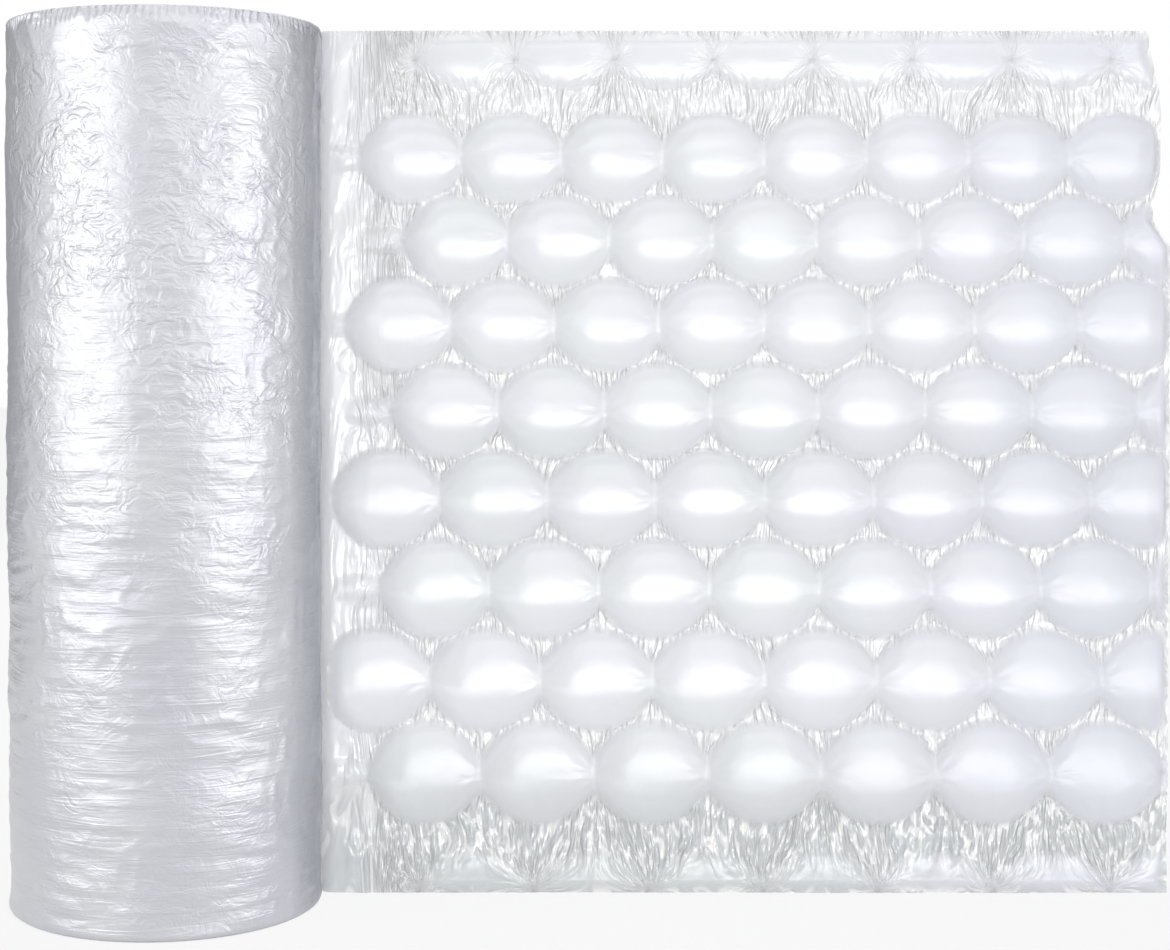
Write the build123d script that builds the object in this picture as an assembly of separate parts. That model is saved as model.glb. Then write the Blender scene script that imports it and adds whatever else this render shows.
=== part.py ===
from build123d import *
from math import cos, radians, sin
import os

# Roll of two-ply air cell film, standing on its end, with its free end drawn off and inflated.
# The origin is on the roll's axis at its base and +Z runs up the axis. The drawn-off film runs
# towards +X and hangs in one plane, a little behind the roll's widest point. All sizes are in mm.

# The roll
film_width = 400.0
roll_radius = 71.5
core_bore_radius = 25.4
core_wall = 4.0
winding_gap = 0.05
foot_rounding = 2.4
rim_height = 8.0
rim_pleats = 54
rim_pleat_depth = 1.6
turns_marked = 3
sides_per_turn = 18
turn_mark_width = 2.6
turn_mark_depth = 1.4
cut_overrun = 2.0

# The drawn-off film
web_wall = 0.8
sheet_y = 10.5
leave_angle = 76.5
sheet_end = 464.0
edge_draw = 11.0
edge_shares = ((0.0, 0.0), (0.70, 0.0), (0.78, 0.8), (0.85, 0.5), (0.92, 0.55), (1.0, 1.0))

# The air cells, in rows counted from the top. The rows spread a little towards the foot.
first_row_drop = 59.0
lowest_full_row = 30.0
row_pitch = 38.0
row_pitch_growth = 0.9
first_cell_x = 111.8
first_cell_shift = 2.85
cell_pitch = 46.6
cell_pitch_growth = 0.86
cell_radius_share = 0.45
cell_depth = 10.0
shoulder_radius_share = 0.80
shoulder_depth_share = 0.62
crown_radius_share = 0.40
cell_sides = 10
crown_sides = 6
neck_half_height = 4.6
neck_half_depth = 2.2
channel_end_length = 22.0
channel_end_radius = 7.5
channel_end_depth = 3.4
smallest_part_cell = 8.0

# The part cells along the film's top and bottom edges
top_cell_drop = 13.5
top_cell_share = 0.72
bottom_cell_rise = 1.0
bottom_cell_share = 0.90
edge_cell_depth = 7.0

# The gathers between the part cells, and between the top part cells and the first row
gather_width = 6.0
gather_crest = 1.6
gathers_per_gap = 3
bottom_gather_height = 27.0
top_gather_height = 14.0
band_gather_height = 16.0
band_gather_drop = 45.0

core_radius = core_bore_radius + core_wall
winding_bore_radius = core_radius + winding_gap
half_web = web_wall / 2

# The film leaves the roll along its surface, just inside the outermost turn, and one bend takes
# it into the sheet's plane.
leave_radius = roll_radius - web_wall
bend_radius = (leave_radius * cos(radians(leave_angle)) - sheet_y) / (1 - cos(radians(leave_angle)))
sheet_start = (leave_radius + bend_radius) * sin(radians(leave_angle))


def row_height(row):
    steps = row - 1
    spread = row_pitch_growth * steps * (steps - 1) / 2
    return film_width - first_row_drop - row_pitch * steps - spread


# As many rows of whole cells as the film's width takes
full_rows = 0
while row_height(full_rows + 1) > lowest_full_row:
    full_rows += 1


def pitch_of(row):
    return cell_pitch + cell_pitch_growth * (row - 1)


def cell_x(row, index):
    stagger = 0.0 if row % 2 else 0.5
    return first_cell_x - first_cell_shift * (row - 1) + (index + stagger) * pitch_of(row)


def ring(x, z, radius, rise, sides):
    """The corners of a flat-faced circle about a cell's middle, with one corner at its top."""
    angles = [radians(90 + 360 * side / sides) for side in range(sides)]
    return [(x + radius * cos(a), sheet_y + rise, z + radius * sin(a)) for a in angles]


def neck(x, z):
    """The six corners of the section where two cells of a row meet."""
    points = []
    for side in (-1, 1):
        points.append((x, sheet_y + side * half_web, z - neck_half_height))
        points.append((x, sheet_y + side * neck_half_depth, z))
        points.append((x, sheet_y + side * half_web, z + neck_half_height))
    return points


def hull(points):
    return Solid(ConvexPolyhedron(points).wrapped)


def air_cell(x, z, pitch, depth, share=1.0):
    """One pillow of air. The necks at its two sides are where it meets the next cells."""
    radius = cell_radius_share * pitch * share
    points = neck(max(x - pitch / 2, sheet_start), z) + neck(x + pitch / 2, z)
    for side in (-1, 1):
        points += ring(x, z, radius, side * half_web, cell_sides)
        rise = side * depth * shoulder_depth_share
        points += ring(x, z, radius * shoulder_radius_share, rise, cell_sides)
        points += ring(x, z, radius * crown_radius_share, side * depth, crown_sides)
    return hull(points)


def channel_end(x, z):
    """The slack tip of an air channel beside the roll, left of its first full cell."""
    length = min(channel_end_length, x - sheet_start)
    points = neck(x, z)
    for side in (-1, 1):
        points += ring(x - length / 2, z, channel_end_radius, side * half_web, crown_sides)
        points += ring(x - length / 2, z, channel_end_radius / 2, side * channel_end_depth, crown_sides)
        points.append((x - length, sheet_y + side * half_web, z))
    return hull(points)


def gather(x, root_z, tip_z, side):
    """A pleat that stands out of the film at its root and fades out at its tip."""
    crest = (x, sheet_y + side * (half_web + gather_crest), root_z)
    root = [(x - gather_width / 2, sheet_y, root_z), (x + gather_width / 2, sheet_y, root_z)]
    return hull(root + [crest, (x, sheet_y, tip_z)])


def sheet_outline():
    corners = [(sheet_start, 0.0)]
    corners += [(sheet_end - edge_draw * draw, film_width * height) for height, draw in edge_shares]
    corners.append((sheet_start, film_width))
    return make_face(Polyline([(x, sheet_y, z) for x, z in corners], close=True))


def make_cells():
    outline_prism = extrude(sheet_outline(), amount=cell_depth * 2, both=True)
    cells = []
    for row in range(full_rows + 2):
        pitch, z, depth, share = pitch_of(row), row_height(row), cell_depth, 1.0
        if row == 0:
            z, depth, share = film_width - top_cell_drop, edge_cell_depth, top_cell_share
        if row > full_rows:
            z, depth, share = bottom_cell_rise, edge_cell_depth, bottom_cell_share
        if row % 2 == 0 and 0 < row:
            cells.append(channel_end(cell_x(row, 0) - pitch / 2, z))
        index = 1 if row > full_rows else 0
        while cell_x(row, index) - pitch / 2 < sheet_end - smallest_part_cell:
            cell = air_cell(cell_x(row, index), z, pitch, depth, share)
            meets_end = cell_x(row, index) + pitch / 2 > sheet_end - edge_draw
            if meets_end or row in (0, full_rows + 1):
                cell = (cell & outline_prism).solid()
            cells.append(cell)
            index += 1
    return cells


def make_gathers():
    gathers = []
    edges = (
        (full_rows + 1, 0.0, bottom_gather_height),
        (0, film_width, film_width - top_gather_height),
        (1, film_width - band_gather_drop, film_width - band_gather_drop + band_gather_height),
    )
    for row, root_z, tip_z in edges:
        pitch = pitch_of(row)
        index = 1
        while cell_x(row, index) < sheet_end - edge_draw:
            middle = cell_x(row, index) - pitch / 2
            for step in range(gathers_per_gap):
                x = middle + (step - (gathers_per_gap - 1) / 2) * gather_width
                gathers.append(gather(x, root_z, tip_z, -1 if step % 2 else 1))
            index += 1
    return gathers


def make_lead_out():
    centre = Vector(sheet_start, sheet_y + bend_radius)
    start = 270 - leave_angle
    far_side = CenterArc(centre, bend_radius - half_web, start, leave_angle)
    near_side = CenterArc(centre, bend_radius + half_web, start, leave_angle)
    ends = [Line(far_side @ 0, near_side @ 0), Line(far_side @ 1, near_side @ 1)]
    return extrude(make_face([far_side, near_side, *ends]), amount=film_width, dir=(0, 0, 1))


def turn_mark(end_z, inward):
    """The groove of the winding's spiral on one end of the roll, one straight stretch at a time."""
    first = winding_bore_radius + turn_mark_width
    growth = (roll_radius - rim_pleat_depth - turn_mark_width - first) / (turns_marked * sides_per_turn)
    stretches = []
    for step in range(turns_marked * sides_per_turn):
        points = []
        for place in (step, step + 1):
            angle = radians(360 * place / sides_per_turn)
            radius = first + growth * place
            across = ((-1, -inward * cut_overrun), (1, -inward * cut_overrun), (-1, 0), (1, 0))
            for way, rise in (*across, (0, inward * turn_mark_depth)):
                reach = radius + way * turn_mark_width / 2
                points.append((reach * cos(angle), reach * sin(angle), end_z + rise))
        stretches.append(hull(points))
    return stretches


def make_roll():
    rim_z = film_width - rim_height
    section = [
        (winding_bore_radius, 0.0),
        (roll_radius - foot_rounding, 0.0),
        (roll_radius, foot_rounding),
        (roll_radius, rim_z),
        (winding_bore_radius, rim_z),
    ]
    winding = revolve(make_face(Polyline([(x, 0, z) for x, z in section], close=True)), Axis.Z)
    pleats = []
    for step in range(2 * rim_pleats):
        radius = roll_radius - rim_pleat_depth * (step % 2)
        angle = radians(180 * step / rim_pleats)
        pleats.append((radius * cos(angle), radius * sin(angle), rim_z))
    rim = extrude(make_face(Polyline(pleats, close=True)), amount=rim_height, dir=(0, 0, 1))
    rim -= Cylinder(winding_bore_radius, 4 * rim_height).moved(Location((0, 0, rim_z)))
    return (winding + rim).cut(*turn_mark(0.0, 1), *turn_mark(film_width, -1))


def make_film():
    sheet = extrude(sheet_outline(), amount=half_web, both=True)
    sheet = sheet.fuse(*make_cells(), *make_gathers())
    return make_roll().fuse(make_lead_out(), sheet)


def make_core():
    tube = Cylinder(core_radius, film_width) - Cylinder(core_bore_radius, film_width)
    return tube.moved(Location((0, 0, film_width / 2)))


os.makedirs("parts", exist_ok=True)
for name, shape in (("film_web", make_film()), ("paper_core", make_core())):
    solids = shape.solids()
    print(name, len(solids), "solid")
    export_step(solids[0], f"parts/{name}.step")
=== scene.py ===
from math import cos, hypot, pi, radians, sin, tau

import bmesh
import bpy
import numpy as np
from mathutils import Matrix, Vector


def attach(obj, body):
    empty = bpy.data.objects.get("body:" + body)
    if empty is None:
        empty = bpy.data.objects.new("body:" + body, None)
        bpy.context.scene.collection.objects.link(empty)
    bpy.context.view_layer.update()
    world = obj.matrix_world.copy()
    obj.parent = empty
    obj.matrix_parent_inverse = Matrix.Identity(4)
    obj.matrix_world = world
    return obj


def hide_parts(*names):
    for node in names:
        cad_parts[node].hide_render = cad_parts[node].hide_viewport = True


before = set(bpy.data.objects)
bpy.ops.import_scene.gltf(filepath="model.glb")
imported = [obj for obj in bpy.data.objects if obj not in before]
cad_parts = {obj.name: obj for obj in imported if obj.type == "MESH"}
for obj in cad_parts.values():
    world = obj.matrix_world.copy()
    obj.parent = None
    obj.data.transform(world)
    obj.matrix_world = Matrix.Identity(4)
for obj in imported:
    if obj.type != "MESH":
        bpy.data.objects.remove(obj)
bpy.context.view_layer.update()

mm = 0.001
scene = bpy.context.scene
scene.view_settings.view_transform = "Standard"


def note(stage):
    print("scene:", stage)


# smooth noise between -1 and 1 from a table of random heights; it repeats every `around` steps in u
# and every `across` steps in v
def softNoise(u, v, seed, around=89, across=97):
    table = np.random.default_rng(seed).uniform(-1, 1, (around, across))
    iu, iv = np.floor(u).astype(int), np.floor(v).astype(int)
    fu, fv = u - iu, v - iv
    fu, fv = fu * fu * (3 - 2 * fu), fv * fv * (3 - 2 * fv)
    iu, iuNext, iv, ivNext = iu % around, (iu + 1) % around, iv % across, (iv + 1) % across
    low = table[iu, iv] * (1 - fu) + table[iuNext, iv] * fu
    high = table[iu, ivNext] * (1 - fu) + table[iuNext, ivNext] * fu
    return low * (1 - fv) + high * fv


# sharp creases with soft hollows between them, 0 to 1
def creases(u, v, seed, around=89):
    return 1 - np.minimum(1, 2.2 * np.abs(softNoise(u, v, seed, around)))


# 0 up to low, 1 from high on, with a soft rise between; low may be the greater
def ramp(x, low, high):
    t = np.clip((x - low) / (high - low), 0, 1)
    return t * t * (3 - 2 * t)


def readPoints(mesh):
    flat = np.empty(len(mesh.vertices) * 3)
    mesh.vertices.foreach_get("co", flat)
    return flat.reshape(-1, 3)


def writePoints(mesh, points):
    mesh.vertices.foreach_set("co", points.astype(np.float32).ravel())
    mesh.update()


def addObject(name, bm, material):
    mesh = bpy.data.meshes.new(name)
    bm.to_mesh(mesh)
    bm.free()
    mesh.materials.append(material)
    made = bpy.data.objects.new(name, mesh)
    scene.collection.objects.link(made)
    return made


def addPiece(name, bm, material):
    piece = addObject(name, bm, material)
    piece.data.polygons.foreach_set("use_smooth", [True] * len(piece.data.polygons))
    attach(piece, "root")
    return piece


# a number or a vector for every point of a piece, which its finish reads
def addAttribute(piece, name, values):
    kind, field = ("FLOAT_VECTOR", "vector") if values.ndim > 1 else ("FLOAT", "value")
    attribute = piece.data.attributes.new(name, kind, "POINT")
    attribute.data.foreach_set(field, values.astype(np.float32).ravel())


class NodeBench:
    # adds nodes to a material or a world and wires them, so a finish reads top to bottom
    def __init__(self, owner):
        owner.use_nodes = True
        self.owner, self.tree = owner, owner.node_tree
        self.shader = self.tree.nodes.get("Principled BSDF")

    def add(self, kind, settings=None, **inputs):
        node = self.tree.nodes.new("ShaderNode" + kind)
        for key, value in (settings or {}).items():
            setattr(node, key, value)
        for key, value in inputs.items():
            self.feed(node, key, value)
        return node

    def feed(self, node, key, value):
        socket = node.inputs[int(key[1:])] if key[0] == "n" and key[1:].isdigit() else node.inputs[key]
        if isinstance(value, bpy.types.NodeSocket):
            self.tree.links.new(value, socket)
        else:
            socket.default_value = value

    # what is the same all over goes straight onto the shader's own sockets
    def shade(self, inputs):
        for key, value in inputs.items():
            self.feed(self.shader, key, value)

    def math(self, operation, a, b=0.0):
        return self.add("Math", {"operation": operation}, n0=a, n1=b).outputs[0]

    # the value's way from low to high, 0 to 1 or as given, and level beyond both
    def spread(self, value, low, high, start=0.0, end=1.0):
        node = self.add("MapRange", Value=value)
        for key, number in (("From Min", low), ("From Max", high), ("To Min", start), ("To Max", end)):
            self.feed(node, key, number)
        return node.outputs["Result"]

    # how far a noise is from its middle, so that its zero lines make sharp creases
    def creased(self, noise, middle=0.5):
        return self.math("ABSOLUTE", self.math("SUBTRACT", noise, middle))

    def colours(self, factor, stops):
        node = self.add("ValToRGB", Fac=factor)
        ends = node.color_ramp.elements
        while len(ends) < len(stops):
            ends.new(0.5)
        for end, (place, colour) in zip(ends, stops):
            end.position = place
            end.color = (*colour, 1)
        return node.outputs["Color"]

    def mixed(self, factor, a, b):
        ends = [(*end, 1) if isinstance(end, tuple) else end for end in (a, b)]
        return self.add("Mix", {"data_type": "RGBA"}, n0=factor, n6=ends[0], n7=ends[1]).outputs[2]

    def noise(self, vector, scale, detail=3.0, roughness=0.5, distortion=0.0):
        return self.add("TexNoise", Vector=vector, Scale=scale, Detail=detail, Roughness=roughness,
                        Distortion=distortion).outputs["Fac"]

    def stretched(self, vector, scale, turn=(0, 0, 0)):
        return self.add("Mapping", Vector=vector, Scale=scale, Rotation=turn).outputs["Vector"]

    def relief(self, height, depth):
        return self.add("Bump", Height=height, Distance=depth, Strength=1.0)

    # 1 for the rays by which the surface itself is seen: straight, in a gloss or through glass
    def seen(self):
        path = self.add("LightPath").outputs
        mirrored = self.math("MAXIMUM", path["Is Glossy Ray"], path["Is Transmission Ray"])
        return self.math("MAXIMUM", path["Is Camera Ray"], mirrored)


rollFilmLook = {
    "base": (0.655, 0.665, 0.69), "lilac": (0.61, 0.615, 0.67),
    "metallic": 0.40, "roughness": 0.38, "ior": 1.55,
    # painted shade: a darker colour laid over the cleft where the film comes off the roll, over this x range
    # and share
    "cleftShade": (0.33, 0.34, 0.38), "cleftX": (0.060, 0.0712), "cleftShare": 0.8,
    "crumpleDepth": 2.3 * mm, "crumpleScale": (95, 95, 125), "clusterScale": 38,
    "foldDepth": 0.5 * mm, "foldScale": (24, 24, 290),
    # the heights in metres between which each part of the relief changes, and its share at both
    "smoothBand": (0.386, 0.374, 0.65, 1),
    "upperHalf": (0.12, 0.30, 0.4, 1), "lowerHalf": (0.36, 0.20, 0.35, 1),
}


def makeRollFilm():
    look = rollFilmLook
    bench = NodeBench(bpy.data.materials.new("woundFilm"))
    place = bench.add("TexCoord").outputs["Object"]
    tint = bench.noise(bench.stretched(place, (1, 1, 0.6)), 22, 2)
    tone = bench.colours(tint, [(0.35, look["base"]), (0.7, look["lilac"])])
    apart = bench.add("SeparateXYZ", Vector=place)
    height = apart.outputs["Z"]
    # painted shade: darker and duller in the cleft where the film comes off the roll
    cleftShade = bench.spread(apart.outputs["X"], *look["cleftX"], 0, look["cleftShare"])
    # crumples with sharp creases, in clusters, and short sagging folds that lie across the roll; the
    # margin at the top is smoother, the crumples are stronger above and the folds below
    smoothBand = bench.spread(height, *look["smoothBand"])
    upperHalf = bench.spread(height, *look["upperHalf"])
    lowerHalf = bench.spread(height, *look["lowerHalf"])
    crumple = bench.creased(bench.noise(bench.stretched(place, look["crumpleScale"]), 1.0, 3, 0.56, 0.7))
    cluster = bench.spread(bench.noise(place, look["clusterScale"], 0), 0.4, 0.62, 0.45, 1.1)
    crumple = bench.math("MULTIPLY", bench.math("MULTIPLY", crumple, cluster),
                         bench.math("MULTIPLY", smoothBand, upperHalf))
    folds = bench.creased(bench.noise(bench.stretched(place, look["foldScale"]), 1.0, 2, 0.55, 0.8), 0.52)
    folds = bench.math("MULTIPLY", bench.math("MULTIPLY", folds, lowerHalf), smoothBand)
    crumpled = bench.relief(crumple, look["crumpleDepth"])
    folded = bench.relief(folds, look["foldDepth"])
    bench.feed(folded, "Normal", crumpled.outputs["Normal"])
    bench.shade({"Base Color": bench.mixed(cleftShade, tone, look["cleftShade"]), "Metallic": look["metallic"],
                 "Roughness": look["roughness"], "IOR": look["ior"], "Normal": folded.outputs["Normal"]})
    return bench.owner


sheetFilmLook = {
    # over the air, greyer at the foot as painted shade, and bluer at the far end
    "upper": (0.87, 0.88, 0.955), "lower": (0.85, 0.88, 0.91),
    "foot": (0.60, 0.63, 0.65), "footZ": (0.075, 0.022), "far": (0.76, 0.775, 0.88), "farX": (0.28, 0.46),
    # where the plies lie together, between the cells and in the margins, each with its crease lines
    # whiter between the cells, partly a painted reflection of the lights, with grey crease lines of painted
    # shade
    "sealed": (0.96, 0.965, 0.98), "line": (0.74, 0.75, 0.79),
    # greyer in the margins as painted shade, with white crease lines that are painted highlights
    "marginShade": (0.58, 0.615, 0.635), "marginGlint": (1.0, 1.0, 1.0), "lineWidth": 0.056,
    "alpha": 0.45, "ior": 1.7, "sealedMetallic": 0.4, "metallic": 0.12,
    "roughness": 0.276, "farRoughness": 0.34,
    "creaseDepth": 5.5 * mm, "creaseScale": (3.5, 3.5, 0.6), "footCreases": 1.5, "airCreases": 0.03,
}


def makeSheetFilm():
    look = sheetFilmLook
    bench = NodeBench(bpy.data.materials.new("airFilm"))
    place = bench.add("TexCoord").outputs["Object"]
    swell = bench.add("Attribute", {"attribute_name": "swell"}).outputs["Fac"]
    marginShade = bench.add("Attribute", {"attribute_name": "marginShade"}).outputs["Fac"]
    pull = bench.add("Attribute", {"attribute_name": "pull"}).outputs["Vector"]
    crinkle = bench.creased(bench.noise(bench.stretched(pull, look["creaseScale"]), 1.0, 2, 0.55))
    # the crease lines are painted: grey painted shade between the cells, white painted highlights in the
    # margins
    line = bench.spread(crinkle, look["lineWidth"] / 2, look["lineWidth"], 1, 0)
    between = bench.mixed(line, look["sealed"], look["line"])
    edging = bench.mixed(line, look["marginShade"], look["marginGlint"])
    # the margins are painted greyer, as painted shade
    sealed = bench.mixed(marginShade, between, edging)
    apart = bench.add("SeparateXYZ", Vector=place)
    foot = bench.spread(apart.outputs["Z"], *look["footZ"])
    far = bench.spread(apart.outputs["X"], *look["farX"])
    tint = bench.noise(bench.stretched(place, (1, 0, 1.3)), 24, 0)
    blown = bench.colours(tint, [(0.35, look["lower"]), (0.68, look["upper"])])
    # painted shade: the film over the air greyer towards the foot; bluer towards the far end
    blown = bench.mixed(far, bench.mixed(foot, blown, look["foot"]), look["far"])
    # sharp crinkles on the sealed parts, only a slight unevenness over the air
    calm = bench.spread(swell, 0, 1, 1, look["airCreases"])
    tight = bench.spread(foot, 0, 1, 1, look["footCreases"])
    height = bench.math("MULTIPLY", bench.math("MULTIPLY", crinkle, calm), tight)
    bench.shade({"Base Color": bench.mixed(swell, sealed, blown), "Alpha": look["alpha"], "IOR": look["ior"],
                 "Metallic": bench.spread(swell, 0, 1, look["sealedMetallic"], look["metallic"]),
                 "Roughness": bench.spread(far, 0, 1, look["roughness"], look["farRoughness"]),
                 "Normal": bench.relief(height, look["creaseDepth"]).outputs["Normal"]})
    return bench.owner


coreLook = {
    "board": (0.50, 0.37, 0.24), "pale": (0.60, 0.46, 0.31), "roughness": 0.86, "depth": 0.25 * mm,
    "seam": (0.30, 0.21, 0.13), "seamWidth": 0.012, "seamDepth": 0.8, "strip": 62 * mm,
}


def makeCardboard():
    look = coreLook
    bench = NodeBench(bpy.data.materials.new("woundCardboard"))
    place = bench.add("TexCoord").outputs["Object"]
    fibres = bench.noise(bench.stretched(place, (60, 60, 240), (0.5, 0, 0)), 8, 5, 0.62)
    flecks = bench.noise(place, 900, 2, 0.7)
    grain = bench.math("ADD", bench.math("MULTIPLY", fibres, 0.75), bench.math("MULTIPLY", flecks, 0.25))
    base = bench.colours(grain, [(0.34, look["board"]), (0.68, look["pale"])])
    # the strip that the tube is wound from leaves one spiral seam
    turn = bench.add("TexGradient", {"gradient_type": "RADIAL"}, Vector=place).outputs["Fac"]
    rise = bench.math("DIVIDE", bench.add("SeparateXYZ", Vector=place).outputs["Z"], look["strip"])
    phase = bench.math("FRACT", bench.math("ADD", rise, turn))
    seam = bench.spread(bench.creased(phase), 0, look["seamWidth"], 1, 0)
    height = bench.math("SUBTRACT", grain, bench.math("MULTIPLY", seam, look["seamDepth"]))
    bench.shade({"Base Color": bench.mixed(seam, base, look["seam"]), "Roughness": look["roughness"],
                 "Normal": bench.relief(height, look["depth"]).outputs["Normal"]})
    return bench.owner


endFilmLook = {
    "tones": [(0.15, (0.60, 0.61, 0.64)), (0.55, (0.76, 0.77, 0.80)), (0.9, (0.83, 0.84, 0.86))],
    "rings": [(330.0, 3.0, 1.5, 0.45), (68.0, 2.0, 1.0, 0.55)],   # scale, distortion, detail scale, share
    "roughness": 0.38, "ior": 1.5, "crinkle": 0.5, "depth": 0.4 * mm,
}


# the edges of the film's turns on both ends of the roll
def makeEndFilm():
    look = endFilmLook
    bench = NodeBench(bpy.data.materials.new("filmEdges"))
    place = bench.add("TexCoord").outputs["Object"]
    flat = bench.stretched(place, (1, 1, 0))
    shares = []
    for scale, distortion, fine, share in look["rings"]:
        wave = bench.add("TexWave", {"wave_type": "RINGS", "rings_direction": "Z"}, Vector=flat, Scale=scale,
                         Distortion=distortion, Detail=3.0, **{"Detail Scale": fine})
        shares.append(bench.math("MULTIPLY", wave.outputs["Fac"], share))
    turns = bench.math("ADD", *shares)
    crinkle = bench.math("MULTIPLY", bench.noise(place, 420, 3, 0.6), look["crinkle"])
    height = bench.math("ADD", turns, crinkle)
    bench.shade({"Base Color": bench.colours(turns, look["tones"]), "Roughness": look["roughness"],
                 "IOR": look["ior"], "Normal": bench.relief(height, look["depth"]).outputs["Normal"]})
    return bench.owner


rollFilm = makeRollFilm()
sheetFilm = makeSheetFilm()
cardboard = makeCardboard()
endFilm = makeEndFilm()
note("materials made")


# the roll, in mm
roll = {
    "radius": 71.5, "height": 400.0, "boreRadius": 29.45, "footRounding": 3.0, "footInset": 0.35,
    "bandHeight": 380.0,       # the crinkle line between the smooth margin and the crumpled part
    "steps": 310, "rowPitch": 1.5, "footRings": (32, 66, 18),
    "hollow": 0.9, "crumple": 0.52, "sag": 0.30, "ripple": 0.45, "groove": 0.45, "marginCreases": (0.7, 0.4),
    "bulge": 0.6,              # the most that the wall stands out past its radius
    "lap": 1.5, "tuck": 0.12,  # how far the skin runs up inside the top piece, and how deep
}
rim = {
    "steps": 816, "wallRows": 18, "pleats": 136, "pleatDepth": 1.7, "pleatHeight": 8.5, "rollOver": 1.3,
    "rings": 22, "sink": 0.75, "boreDrops": (1.5, 5.0), "edge": 2.6,
}


# a lathe of the outline, one strip of faces to each of its stretches
def lathe(outline, steps):
    bm = bmesh.new()
    verts = [bm.verts.new((r * mm, 0, z * mm)) for r, z in outline]
    edges = [bm.edges.new(pair) for pair in zip(verts, verts[1:])]
    bmesh.ops.spin(bm, geom=verts + edges, cent=(0, 0, 0), axis=(0, 0, 1), dvec=(0, 0, 0),
                   angle=tau, steps=steps, use_merge=True, use_normal_flip=False, use_duplicate=False)
    bmesh.ops.recalc_face_normals(bm, faces=bm.faces)
    return bm


# where the points of a lathe are: their share of a turn round the roll, their angle from the front,
# growing to the right, their distance from the axis and their height
def aroundRoll(points):
    turn = np.arctan2(points[:, 1], points[:, 0])
    facing = (turn + pi / 2 + pi) % tau - pi
    return (turn / tau) % 1.0, facing, np.hypot(points[:, 0], points[:, 1]), points[:, 2].copy()


# moves the points of a lathe out and up, and gives its end faces the look of cut edges
def shapeRoll(piece, points, push, lift, isEnd):
    reach = np.hypot(points[:, 0], points[:, 1])
    points[:, :2] *= ((reach + push) / reach)[:, None]
    points[:, 2] += lift
    writePoints(piece.data, points * mm)
    piece.data.materials.append(endFilm)
    for face in piece.data.polygons:
        if isEnd(face):
            face.material_index = 1


# how far the wall of the roll stands out at a place, in mm: soft hollows, sharp crumples, sagging
# folds across, standing ripples where the film leaves, the crinkle line and the creases above it
def crumpledWall(around, facing, z):
    below = ramp(z, roll["bandHeight"] + 6, roll["bandHeight"] - 4)
    push = roll["hollow"] * (softNoise(around * 15, z / 26, 3, 15) - 0.6)
    droop = z + 5 * softNoise(around * 9, z / 60, 5, 9)
    lumps = creases(around * 43 + 0.6 * softNoise(around * 20, z / 9, 7, 20), droop / 8.5, 11, 43)
    cluster = ramp(softNoise(around * 12, z / 34, 13, 12), -0.5, 0.5)
    push += roll["crumple"] * (lumps - 0.6) * (0.35 + 0.65 * cluster) * below
    sagging = 0.4 + 0.6 * ramp(z, 330, 200)
    push += roll["sag"] * softNoise(around * 24, droop / 3.3, 17, 24) * sagging * below
    standing = ramp(facing, 0.85, 1.2) * ramp(facing, 2.0, 1.6)
    push += roll["ripple"] * standing * softNoise(around * 110, z / 30, 19, 110)
    line = roll["bandHeight"] - 1 + 1.2 * softNoise(around * 37, z * 0, 41, 37)
    broken = 0.4 + 0.6 * np.abs(softNoise(around * 100, z * 0, 43, 100))
    push -= roll["groove"] * ramp(np.abs(z - line), 2.0, 0) * broken
    rising, falling = roll["marginCreases"]
    push += rising * creases(around * 17 + z / 40, z / 60, 37, 17) ** 3 * (1 - below)
    push += falling * creases(around * 23 - z / 31, z / 50, 39, 23) ** 3 * (1 - below)
    return np.minimum(push, roll["bulge"]) * ramp(z, 0, 8)


def makeRollSkin():
    radius, foot, inset = roll["radius"], roll["footRounding"], roll["footInset"]
    band, top = roll["bandHeight"], roll["bandHeight"] + roll["lap"]
    end = [(r, inset) for r in (roll["boreRadius"], *np.linspace(*roll["footRings"]))]
    corner = [(radius - foot * (1 - sin(a)), foot * (1 - cos(a))) for a in (0.0, 0.4, 0.8, 1.2, pi / 2)]
    rows = int((top - foot) / roll["rowPitch"])
    wall = [(radius, foot + (top - foot) * row / rows) for row in range(1, rows + 1)]
    piece = addPiece("rollSkin", lathe(end + corner + wall, roll["steps"]), rollFilm)
    points = readPoints(piece.data) / mm
    around, facing, reach, z = aroundRoll(points)
    onWall = reach > radius - foot - 1
    push = np.where(onWall, crumpledWall(around, facing, z), 0)
    push -= roll["tuck"] * ramp(z, band + 0.2, band + 0.8)
    lift = np.where(onWall, 0, 0.3 * softNoise(reach / 2.1, around * 12, 23))
    shapeRoll(piece, points, push, lift, lambda face: face.center.z < 0.8 * mm and face.normal.z < -0.5)
    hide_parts("film_web")


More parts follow.
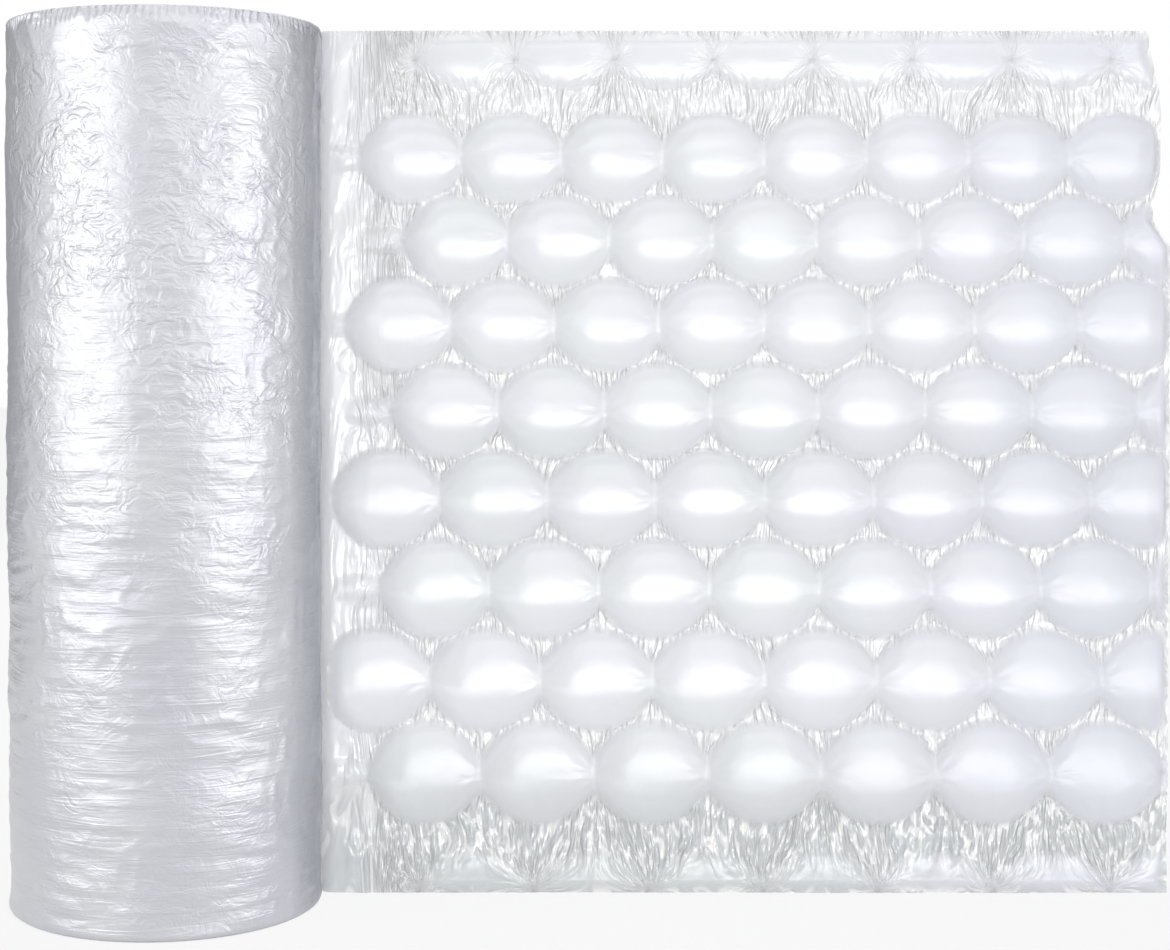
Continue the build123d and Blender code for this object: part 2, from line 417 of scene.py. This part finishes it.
def makeRollTop():
    radius, top, bore, over = roll["radius"], roll["height"], roll["boreRadius"], rim["rollOver"]
    wall = [(radius, z) for z in np.linspace(roll["bandHeight"], top - over, rim["wallRows"])]
    lip = [(radius - over * (1 - cos(a)), top - over + over * sin(a)) for a in (0.5, 1.0, pi / 2)]
    end = [(r, top) for r in np.linspace(radius - 2.2, bore, rim["rings"])]
    inside = [(bore, top - drop) for drop in rim["boreDrops"]]
    piece = addPiece("rollTop", lathe(wall + lip + end + inside, rim["steps"]), rollFilm)
    points = readPoints(piece.data) / mm
    around, facing, reach, z = aroundRoll(points)
    onWall = reach > radius - over - 0.01
    # the free edges of the film stand in close pleats all round the rim
    uneven = softNoise(around * 60, z / 9, 29, 60)
    length = rim["pleatHeight"] * (0.75 + 0.4 * softNoise(around * 90, z * 0, 33, 90))
    pleat = 0.5 + 0.5 * np.cos(tau * (rim["pleats"] * around + 0.75 * uneven))
    pleated = ramp(z, top - length, top - 2.5) * (0.6 + 0.5 * softNoise(around * 90, z / 4, 31, 90))
    push = -rim["pleatDepth"] * pleated * (1 - pleat ** 0.6) - 0.5 * ramp(z, top - 5, top)
    push += crumpledWall(around, facing, z) * ramp(z, top, top - 4)
    # turns of film stand at slightly different heights on the end
    inward = np.clip((radius - reach) / 3, 0, 1)
    turns = 0.55 * softNoise(reach / 1.9 + around, around * 7, 47)
    turns += 0.35 * softNoise(reach / 5.5, around * 5, 53)
    crinkled = 0.35 * softNoise(around * 136, reach / 1.6, 59, 136)
    sink = np.where(onWall, 0, np.minimum(0, (turns + crinkled - rim["sink"]) * inward))
    sink = np.where(reach < bore + 0.2, np.minimum(sink, -0.4), sink)
    shapeRoll(piece, points, np.where(onWall, np.minimum(push, 0.4), 0), sink,
              lambda face: hypot(face.center.x, face.center.y) < (radius - rim["edge"]) * mm)
    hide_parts("film_web")


makeRollSkin()
note("roll skin made")
makeRollTop()
note("roll top made")


# the drawn-off film, in mm
sheet = {
    "planeY": 10.5, "bendRadius": 7.83, "leaveAngle": radians(76.5), "leaveRadius": 70.7,
    "start": 76.36, "end": 464.0, "height": 400.0, "lap": 9.0, "lapDepth": 1.6, "spacing": 1.42,
    "flat": 0.18,              # half the thickness where the plies lie together
    # how far the torn end draws in, by height, and where the drawing in begins
    "edge": [(0, 0.2), (300, 0.3), (312, 8.3), (319, 8.8), (334, 5.3), (362, 5.2), (372, 6.0), (392, 10.5),
             (400, 11.2)],
    "edgeRun": 40,
}
# the air cells, in rows counted from the top, in mm
cells = {
    "rows": 8, "firstDrop": 59.0, "pitch": 38.0, "growth": 0.9, "firstX": 111.8, "shiftX": 2.85,
    "across": 46.6, "acrossGrowth": 0.86, "tallShare": 0.545, "depth": 10.0,
    "topDrop": 13.5, "topTall": 13.0, "topDepth": 4.5,
    "bottomRise": 1.0, "bottomTall": 18.5, "bottomDepth": 4.4,
    "neckDepth": 5.2, "neckHeight": 8.8, "firstNeck": 0.55,
    "channelEnd": 22.0, "channelTall": 4.0, "channelSwell": 1.6, "channelDepth": 2.3,
    # how the crowns lean: apart at the two ends of the sheet, and bellied out below towards the foot
    "lean": ((90, 270, 460), (0.38, 0.08, -0.20)), "belly": ((56, 180, 341), (0.24, 0.15, -0.12)),
    "uneven": 0.06, "smallest": 6,
}
# how deep the film's creases are, in mm, and how many run into each neck
folds = {
    "sway": 0.9, "billow": 0.5, "foot": 1.0, "corner": 0.3, "besideRoll": 1.1, "underTop": 0.7,
    "crinkle": 0.5, "cutEnd": 0.5, "pleats": 13, "finePleats": 22, "neckCreases": 11, "neckDepth": 0.28,
    "overAir": 0.08,           # the share of them that still shows over the air
    # the places in mm between which each sets in
    "pleatX": (85, 105), "footZ": (50, 36), "stripX": (112, 92),
    "bandFoot": (350, 358), "bandTop": (380, 368),
}
# where the film's finish changes: the share, and the distances in mm between which it sets in
finish = {
    "fullAir": 4, "neckSmooth": (0.85, 11, 3), "stripSmooth": (0.35, 112, 88),
    # the margin shares: where the margins are painted greyer, as painted shade
    "stripMarginShade": (0.4, 112, 100), "topMarginShade": (0.3, 348, 362), "footMarginShade": (1.0, 52, 40),
    "downFilm": (1.0, 114, 84), "wobble": 0.10,
}


def rowHeight(row):
    steps = row - 1
    spread = cells["growth"] * steps * (steps - 1) / 2
    return sheet["height"] - cells["firstDrop"] - cells["pitch"] * steps - spread


# the height of any row's middle, the part rows at the two edges too
def rowMiddle(row):
    if row == 0:
        return sheet["height"] - cells["topDrop"]
    return cells["bottomRise"] if row > cells["rows"] else rowHeight(row)


def pitchOf(row):
    return cells["across"] + cells["acrossGrowth"] * (row - 1)


def cellX(row, index):
    return cells["firstX"] - cells["shiftX"] * (row - 1) + (index + (0 if row % 2 else 0.5)) * pitchOf(row)


# every cell as (row, x, z, half pitch, half height, depth, first in its row)
def listCells():
    found = []
    for row in range(cells["rows"] + 2):
        pitch = pitchOf(row)
        tall, deep = cells["tallShare"] * (cells["pitch"] + cells["growth"] * (row - 1)), cells["depth"]
        if row == 0:
            tall, deep = cells["topTall"], cells["topDepth"]
        if row > cells["rows"]:
            tall, deep = cells["bottomTall"], cells["bottomDepth"]
        index = 1 if row > cells["rows"] else 0
        while cellX(row, index) - pitch / 2 < sheet["end"] - cells["smallest"]:
            found.append((row, cellX(row, index), rowMiddle(row), pitch / 2, tall, deep, index == 0))
            index += 1
    return found


# half the thickness of the air layer at every point, in mm: a tube along each row that swells out
# into the cells and draws in to the necks between them
def airField(x, z):
    rng = np.random.default_rng(61)
    layer = np.zeros_like(x)
    for row, cx, cz, half, tall, deep, first in listCells():
        near = (np.abs(x - cx) <= half) & (np.abs(z - cz) < tall + 2)
        u, v = (x[near] - cx) / half, z[near] - cz
        if row == 0:
            v = np.where(v > 0, v / 3, v)       # the film's edge cuts the top cells off
        narrowing = 1 - cells["firstNeck"] * np.clip(-u, 0, 1) if first else 1.0
        neckHeight = cells["neckHeight"] * min(1, tall / 21) * narrowing
        neckDepth = cells["neckDepth"] * deep / cells["depth"] * narrowing
        edge = neckHeight + (tall - neckHeight) * (1 - np.abs(u) ** 2.5) ** 1.1
        swell = neckDepth + (deep * rng.uniform(0.94, 1.0) - neckDepth) * (1 - np.abs(u) ** 2.4) ** 0.85
        w = np.clip(v / edge, -1, 1)
        lean = np.interp(cx, *cells["lean"]) + rng.uniform(-cells["uneven"], cells["uneven"])
        belly = np.interp(cz, *cells["belly"]) + rng.uniform(-cells["uneven"], cells["uneven"])
        tube = swell * (1 - np.abs(w) ** 2.3) ** 0.55
        tube *= (1 - lean * u * (1 - u ** 2)) * (1 - belly * w * (1 - w ** 2))
        # short creases run in from the necks
        fan = np.sin(folds["neckCreases"] * np.arctan2(v, (1.06 - np.abs(u)) * half) + rng.uniform(0, 6))
        tube += folds["neckDepth"] * fan * ramp(np.abs(u), 0.5, 0.95) * ramp(np.abs(w), 1.0, 0.8)
        layer[near] = np.maximum(layer[near], tube)
    # the slack tips of the channels beside the roll
    for row in range(1, cells["rows"] + 1):
        tip = cellX(row, 0) - pitchOf(row) / 2
        near = (x <= tip) & (x > tip - cells["channelEnd"]) & (np.abs(z - rowHeight(row)) < 6)
        left = (tip - x[near]) / cells["channelEnd"]
        w = (z[near] - rowHeight(row)) / (cells["channelTall"] + cells["channelSwell"] * np.sin(pi * left))
        layer[near] = cells["channelDepth"] * np.maximum(0, 1 - w ** 2) ** 0.52 * np.maximum(0, 1 - left ** 3)
    return layer


# Creases run from the necks of one row to the necks of the next, the way water flows between
# springs and drains: the angle of the line of flow at every point, how far along it that is, and
# how near the next neck is, in mm.
def pullLines(x, z):
    flow, near = -1j * (x + 1j * z) * pi / pitchOf(5), np.full(len(x), 1e3)
    for row in range(cells["rows"] + 2):
        firstNeck = cellX(row, 0) - pitchOf(row) / 2
        place = (x - firstNeck + 1j * (z - rowMiddle(row))) * pi / pitchOf(row)
        flow += (-1) ** row * np.log(np.sin(place) + 1e-9)
        near = np.minimum(near, np.abs(np.sin(place)) * pitchOf(row) / pi)
    return flow.imag, flow.real, near


# the film's own creases, which both plies follow, in mm
def creaseField(x, z, lineAngle):
    push = folds["sway"] * softNoise(x / 70 + 3, z / 60, 67) + folds["billow"] * softNoise(x / 23, z / 30, 71)
    # gathers, long ones along the foot and short ones in the corners between the cells
    wander = 2.2 * softNoise(x / 31, z / 44, 101)
    pleat = np.cos(folds["pleats"] * lineAngle + wander)
    pleat += 0.5 * np.cos(folds["finePleats"] * lineAngle - 2 * wander)
    depth = folds["corner"] + (folds["foot"] - folds["corner"]) * ramp(z, *folds["footZ"])
    push += depth * pleat * ramp(x, *folds["pleatX"]) * ramp(z, -6, 12)
    # streaks down the strip beside the roll, and close ones between the top cells and the first row
    streaks = creases(x / 11 - z / 55, z / 60, 83) - 0.5
    push += folds["besideRoll"] * streaks * ramp(x, *folds["stripX"])
    close = creases(x / 5.5 + 0.5 * softNoise(x / 20, z / 40, 73), z / 22, 79) - 0.5
    push += folds["underTop"] * close * ramp(z, *folds["bandFoot"]) * ramp(z, *folds["bandTop"])
    # small crinkles in the flat corners between the cells, none along the cut edges
    inner = ramp(z, 0, 5) * ramp(z, sheet["height"], sheet["height"] - 4)
    push += folds["crinkle"] * (creases(x / 3.6, z / 4.4, 89) - 0.5) * inner
    return push


def edgeInset(z):
    heights, draws = zip(*sheet["edge"])
    return np.interp(z, heights, draws)


# where the film lies at a distance along it from the start of the flat stretch, `off` to its back:
# round the roll, back through the bend, then straight out along +X
def filmPath(x, along, off):
    bend = sheet["bendRadius"] * sheet["leaveAngle"]
    onBend, onRoll = along < 0, along < -bend
    turned = np.where(onBend & ~onRoll, -along / sheet["bendRadius"], 0)
    bentR = sheet["bendRadius"] - off
    pathX = np.where(onBend, sheet["start"] - bentR * np.sin(turned), x)
    pathY = sheet["planeY"] + np.where(onBend, sheet["bendRadius"] - bentR * np.cos(turned), off)
    lap = np.clip(-(along + bend) / sheet["lap"], 0, 1)
    angle = sheet["leaveAngle"] - lap * sheet["lap"] / sheet["leaveRadius"]
    reach = sheet["leaveRadius"] + off - sheet["lapDepth"] * lap
    return np.where(onRoll, reach * np.sin(angle), pathX), np.where(onRoll, reach * np.cos(angle), pathY)


def shareOf(key, distance):
    share, low, high = finish[key]
    return share * ramp(distance, low, high)


def makePly(name, side):
    bend = sheet["bendRadius"] * sheet["leaveAngle"]
    run, tall, spacing = sheet["end"] - sheet["start"], sheet["height"], sheet["spacing"]
    length = run + bend + sheet["lap"]
    bm = bmesh.new()
    bmesh.ops.create_grid(bm, x_segments=int(length / spacing), y_segments=int(tall / spacing), size=0.5)
    piece = addPiece(name, bm, sheetFilm)
    unit = readPoints(piece.data)
    along, z = (unit[:, 0] + 0.5) * length - bend - sheet["lap"], (unit[:, 1] + 0.5) * tall
    inset = edgeInset(z)
    nearEnd = np.maximum(0, along - run + sheet["edgeRun"]) / sheet["edgeRun"]
    x = sheet["start"] + along - inset * nearEnd
    toEnd = sheet["end"] - inset - x
    toEdge = np.minimum(toEnd, np.minimum(tall - z, z + 0.8))
    air = airField(x, z) * ramp(toEdge, 0.3, 6.5) * ramp(along, -5, 4)
    lineAngle, lineReach, toNeck = pullLines(x, z)
    flatness = 1 - np.clip(air / 2.5, 0, 1)
    share = folds["overAir"] + (1 - folds["overAir"]) * flatness
    crease = creaseField(x, z, lineAngle) * share * ramp(along, 0, 16)
    crease += folds["cutEnd"] * softNoise(z / 9, x / 30, 97) * ramp(toEnd, 14, 0)
    pathX, pathY = filmPath(x, along, crease + side * (sheet["flat"] + air))
    writePoints(piece.data, np.column_stack([pathX, pathY, z]) * mm)
    # swell: how far the film is drawn smooth by the air, and at the necks and beside the roll too
    smooth = np.maximum(shareOf("neckSmooth", toNeck), shareOf("stripSmooth", x))
    addAttribute(piece, "swell", np.maximum(np.clip(air / finish["fullAir"], 0, 1), smooth))
    # marginShade: how far it is painted greyer than between the cells, as painted shade: beside the roll,
    # above and at the foot
    edges = np.maximum(shareOf("topMarginShade", z), shareOf("footMarginShade", z))
    addAttribute(piece, "marginShade", np.maximum(shareOf("stripMarginShade", x), edges))
    # pull: the coordinates that the fine creases follow, the third along them
    wobble = finish["wobble"] * softNoise(x / 8, z / 13, 107)
    across, upward = np.cos(lineAngle) + x / 60 + wobble, np.sin(lineAngle) + z / 90 - wobble
    lines = np.column_stack([across, upward, lineReach])
    downFilm = np.column_stack([(x - 0.16 * z) / 41 + wobble, wobble, z / 30])
    lines += shareOf("downFilm", x)[:, None] * (downFilm - lines)   # beside the roll they run down the film
    addAttribute(piece, "pull", lines)
    if side > 0:
        piece.data.flip_normals()
    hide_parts("film_web")


makePly("filmFront", -1)
makePly("filmBack", 1)
note("drawn-off film made")

for slot in bpy.data.objects["paper_core"].material_slots:
    slot.material = cardboard
note("core finished")


stage = {
    "floorHalf": 6, "floor": (0.9, 0.9, 0.9, 1), "floorRoughness": 0.8, "floorGlow": 0.86,
    "flag": (0.26, 0.26, 0.28, 1), "flagRoughness": 0.9,
    "white": (1, 1, 1, 1), "worldLight": 0.30,
    "middle": (0.27, 0, 0.2), "rollMiddle": (0, 0, 0.2),
    "camera": (0.1386, -0.9555, 0.2624), "tilt": 1.122, "sensor": 36, "lens": 64.15, "shift": (0.10, -0.090),
}


def makeFloor():
    bm = bmesh.new()
    bmesh.ops.create_grid(bm, x_segments=1, y_segments=1, size=stage["floorHalf"])
    bench = NodeBench(bpy.data.materials.new("paleFloor"))
    bench.shade({"Base Color": stage["floor"], "Roughness": stage["floorRoughness"]})
    # white where it is seen, with the object's shadow on it, and plain pale floor to the light
    glow = bench.add("Emission", Color=stage["white"], Strength=1.0)
    surface = bench.add("MixShader", Fac=bench.math("MULTIPLY", bench.seen(), stage["floorGlow"]),
                        n1=bench.shader.outputs[0], n2=glow.outputs[0])
    bench.feed(bench.tree.nodes["Material Output"], "Surface", surface.outputs[0])
    floor = addObject("floor", bm, bench.owner)


def makeWorld():
    scene.world = bpy.data.worlds.new("studio")
    bench = NodeBench(scene.world)
    back = bench.tree.nodes["Background"]
    bench.feed(back, "Color", stage["white"])
    bench.feed(back, "Strength", bench.spread(bench.seen(), 0, 1, stage["worldLight"], 1))


# a soft box by its brightness as seen in a reflection
def softBox(name, at, towards, width, height, brightness, lit=(), shape="RECTANGLE"):
    data = bpy.data.lights.new(name, "AREA")
    data.shape = shape
    area = width * height * (1 if shape == "RECTANGLE" else pi / 4)
    data.size, data.size_y, data.energy = width, height, brightness * pi * area
    lamp = bpy.data.objects.new(name, data)
    scene.collection.objects.link(lamp)
    lamp.location = at
    lamp.rotation_euler = (Vector(towards) - Vector(at)).to_track_quat("-Z", "Y").to_euler()
    lamp.visible_camera = False
    if lit:
        group = bpy.data.collections.new(name + "Lit")
        for piece in lit:
            group.objects.link(bpy.data.objects[piece])
        lamp.light_linking.receiver_collection = group


# a dark panel behind the roll, seen only in its gloss, which keeps its two edges from going white
def flag(name, at, width, height):
    bm = bmesh.new()
    bmesh.ops.create_grid(bm, x_segments=1, y_segments=1, size=0.5)
    bmesh.ops.scale(bm, vec=(width, height, 1), verts=bm.verts)
    turn = (Vector(stage["rollMiddle"]) - Vector(at)).to_track_quat("Z", "Y").to_matrix()
    bmesh.ops.rotate(bm, cent=(0, 0, 0), matrix=turn, verts=bm.verts)
    bmesh.ops.translate(bm, vec=at, verts=bm.verts)
    bench = NodeBench(bpy.data.materials.new(name))
    bench.shade({"Base Color": stage["flag"], "Roughness": stage["flagRoughness"]})
    panel = addObject(name, bm, bench.owner)
    panel.visible_camera = panel.visible_diffuse = panel.visible_shadow = panel.visible_transmission = False


def makeCamera():
    data = bpy.data.cameras.new("camera")
    data.sensor_width, data.lens = stage["sensor"], stage["lens"]
    data.shift_x, data.shift_y = stage["shift"]
    camera = bpy.data.objects.new("camera", data)
    scene.collection.objects.link(camera)
    camera.location = stage["camera"]
    camera.rotation_euler = (radians(90 - stage["tilt"]), 0, 0)
    scene.camera = camera


makeCamera()
makeFloor()
makeWorld()
# the roll and the drawn-off film each have their own soft boxes in front
forRoll, forFilm = ("rollSkin", "rollTop"), ("filmFront", "filmBack")
middle, rollMiddle = stage["middle"], stage["rollMiddle"]
softBox("filmFrontBox", (0.42, -1.05, 0.13), middle, 0.80, 0.38, 5.4, forFilm, "ELLIPSE")
softBox("filmTailBox", (1.10, -0.88, 0.13), middle, 1.2, 0.12, 3.8, forFilm, "ELLIPSE")
softBox("rollRightBox", (1.03, -0.62, 0.25), rollMiddle, 0.95, 0.6, 2.7, forRoll)
softBox("rollLeftBox", (-0.86, -0.79, 0.30), rollMiddle, 1.15, 0.8, 2.3, forRoll)
softBox("glow", (0.5, -1.3, 1.0), (0.25, 0, 0.2), 1.1, 0.7, 1.3)
softBox("above", (0.2, -0.1, 1.7), (0.2, 0, 0), 1.4, 1.2, 1.0)
softBox("behind", (0.2, 1.4, 0.9), (0.15, 0, 0.2), 1.5, 1.0, 1.3)
flag("leftFlag", (-0.80, 0.75, 0.4), 1.0, 1.6)
flag("rightFlag", (0.95, 0.80, 0.4), 0.9, 1.6)
note("stage made")
